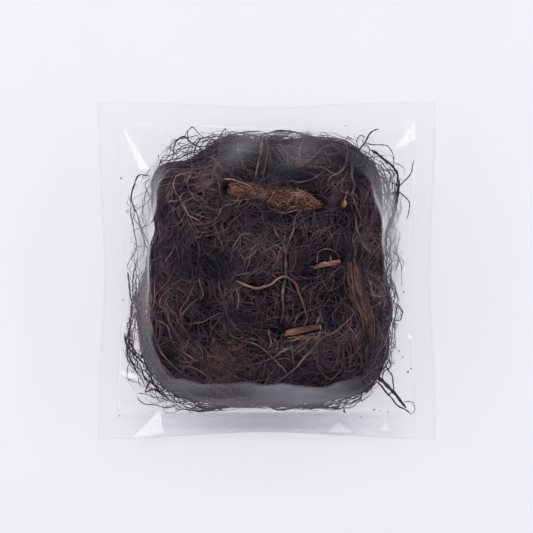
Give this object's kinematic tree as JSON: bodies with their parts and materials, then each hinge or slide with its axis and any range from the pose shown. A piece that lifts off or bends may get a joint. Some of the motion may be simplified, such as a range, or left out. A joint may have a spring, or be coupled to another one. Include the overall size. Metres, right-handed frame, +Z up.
{
  "type": "sealed pouch of spikenard root",
  "caption": "Square clear film pouch, heat-sealed on all sides, packed with a pressed mat of dark curly spikenard rootlets and a few golden rhizome pieces.",
  "frame": {"origin": "middle of the pouch's outline, on the surface that it lies on", "axes": "+Z up through the pouch's thickness, out of its front film; +Y towards its top edge; +X to the right seen from the front"},
  "size_m": [0.15, 0.15, 0.029],
  "materials": {
    "film": "clear glossy film",
    "root_bark": "dry dark brown bark",
    "rhizome_fibre": "golden brown leaf fibre",
    "rhizome_wood": "dry cut rhizome",
    "pale_bark": "dry pale bark"
  },
  "bodies": {
    "root": {"pouch_front_film": "film", "pouch_back_film": "film", "root_mat": "root_bark", "rhizome_fibrous": "rhizome_fibre", "rhizome_chip": "rhizome_wood", "rhizome_stick": "rhizome_fibre", "rhizome_stub": "rhizome_wood", "pale_root": "pale_bark"}
  },
  "joints": []
}
